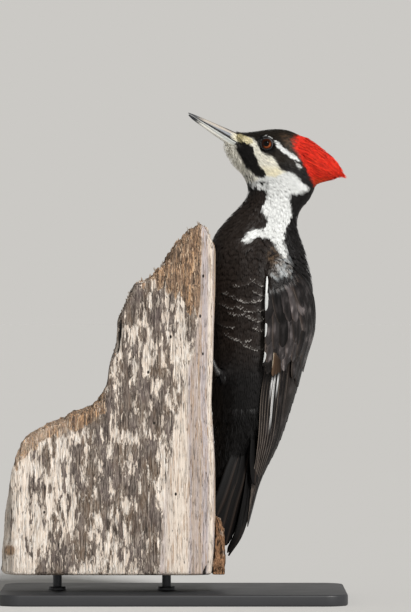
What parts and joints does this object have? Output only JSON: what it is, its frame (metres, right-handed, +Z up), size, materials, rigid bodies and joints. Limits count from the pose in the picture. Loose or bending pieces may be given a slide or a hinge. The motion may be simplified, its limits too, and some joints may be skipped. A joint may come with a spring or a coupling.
{
  "type": "woodpecker",
  "caption": "Crow-sized black woodpecker with a white face and neck stripe and a swept red crest, clinging upright to a weathered snag; a still life-size model on a flat stand.",
  "frame": {"origin": "middle of the stand's underside, which is also the middle of the part's footprint", "axes": "+Z up; the bird's belly and the snag are towards -X and its back towards +X; its left side is towards -Y"},
  "size_m": [0.31, 0.18, 0.4388],
  "materials": {
    "bill": "smooth horn, satin",
    "plumage": "brown-black feathers with a soft sheen; white stripe on face and neck",
    "crest": "scarlet feathers, silky",
    "eye": "wet and glossy, orange-brown iris, black pupil",
    "leg_skin": "scaled grey skin",
    "claw": "dark horn, satin",
    "snag_wood": "bare weathered wood, cream and grey, dry and cracked",
    "snag_bark": "flaking brown bark",
    "stand_steel": "satin black"
  },
  "bodies": {
    "root": {"bill_upper": "bill", "bill_lower": "bill", "head": "plumage", "crest": "crest", "neck": "plumage", "trunk": "plumage", "eye_left": "eye", "wing_left_coverts": "plumage", "wing_left_secondaries": "plumage", "wing_left_primaries": "plumage", "tail_feather_left_1": "plumage", "tail_feather_left_2": "plumage", "tail_feather_left_3": "plumage", "tail_feather_left_4": "plumage", "tail_feather_left_5": "plumage", "thigh_left": "plumage", "shank_left": "leg_skin", "foot_left": "leg_skin", "claw_left_hind": "claw", "claw_left_inner": "claw", "claw_left_middle": "claw", "claw_left_outer": "claw", "eye_right": "eye", "wing_right_coverts": "plumage", "wing_right_secondaries": "plumage", "wing_right_primaries": "plumage", "tail_feather_right_1": "plumage", "tail_feather_right_2": "plumage", "tail_feather_right_3": "plumage", "tail_feather_right_4": "plumage", "tail_feather_right_5": "plumage", "thigh_right": "plumage", "shank_right": "leg_skin", "foot_right": "leg_skin", "claw_right_hind": "claw", "claw_right_inner": "claw", "claw_right_middle": "claw", "claw_right_outer": "claw", "perch": "snag_wood", "perch_bark_front": "snag_bark", "perch_bark_rear": "snag_bark", "stand_base": "stand_steel", "stand_rod_1": "stand_steel", "stand_rod_2": "stand_steel"}
  },
  "joints": []
}
